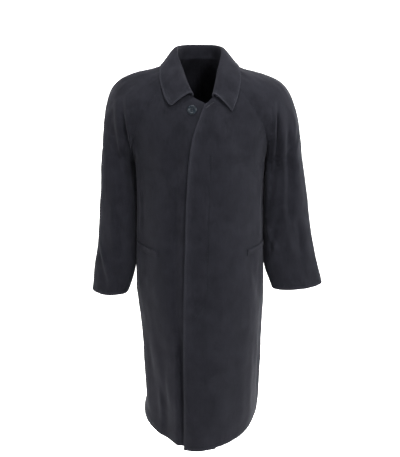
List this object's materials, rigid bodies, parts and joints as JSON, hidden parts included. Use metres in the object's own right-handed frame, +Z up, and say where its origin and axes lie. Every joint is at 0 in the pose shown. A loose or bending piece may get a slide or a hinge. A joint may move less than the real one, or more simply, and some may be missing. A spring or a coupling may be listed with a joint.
{
  "type": "single-breasted raglan overcoat",
  "caption": "Knee-length single-breasted raglan overcoat with a fly front, turn-down collar and horizontal welt pockets, filled out as worn and hollow inside.",
  "frame": {"origin": "middle of the neck base, level with the collar's outer edge on the shoulders", "axes": "+Z up; -Y is the coat's front; +X is the wearer's left"},
  "size_m": [0.7583, 0.4276, 1.2672],
  "materials": {
    "overcoating": "napped wool, soft sheen",
    "collar_cloth": "napped wool, pressed, soft sheen",
    "button": "polished"
  },
  "bodies": {
    "root": {"front_left": "overcoating", "front_right": "overcoating", "back_left": "overcoating", "back_right": "overcoating", "sleeve_front_left": "overcoating", "sleeve_back_left": "overcoating", "sleeve_front_right": "overcoating", "sleeve_back_right": "overcoating", "collar": "collar_cloth", "pocket_welt_left": "overcoating", "pocket_welt_right": "overcoating", "neck_button": "button"}
  },
  "joints": []
}
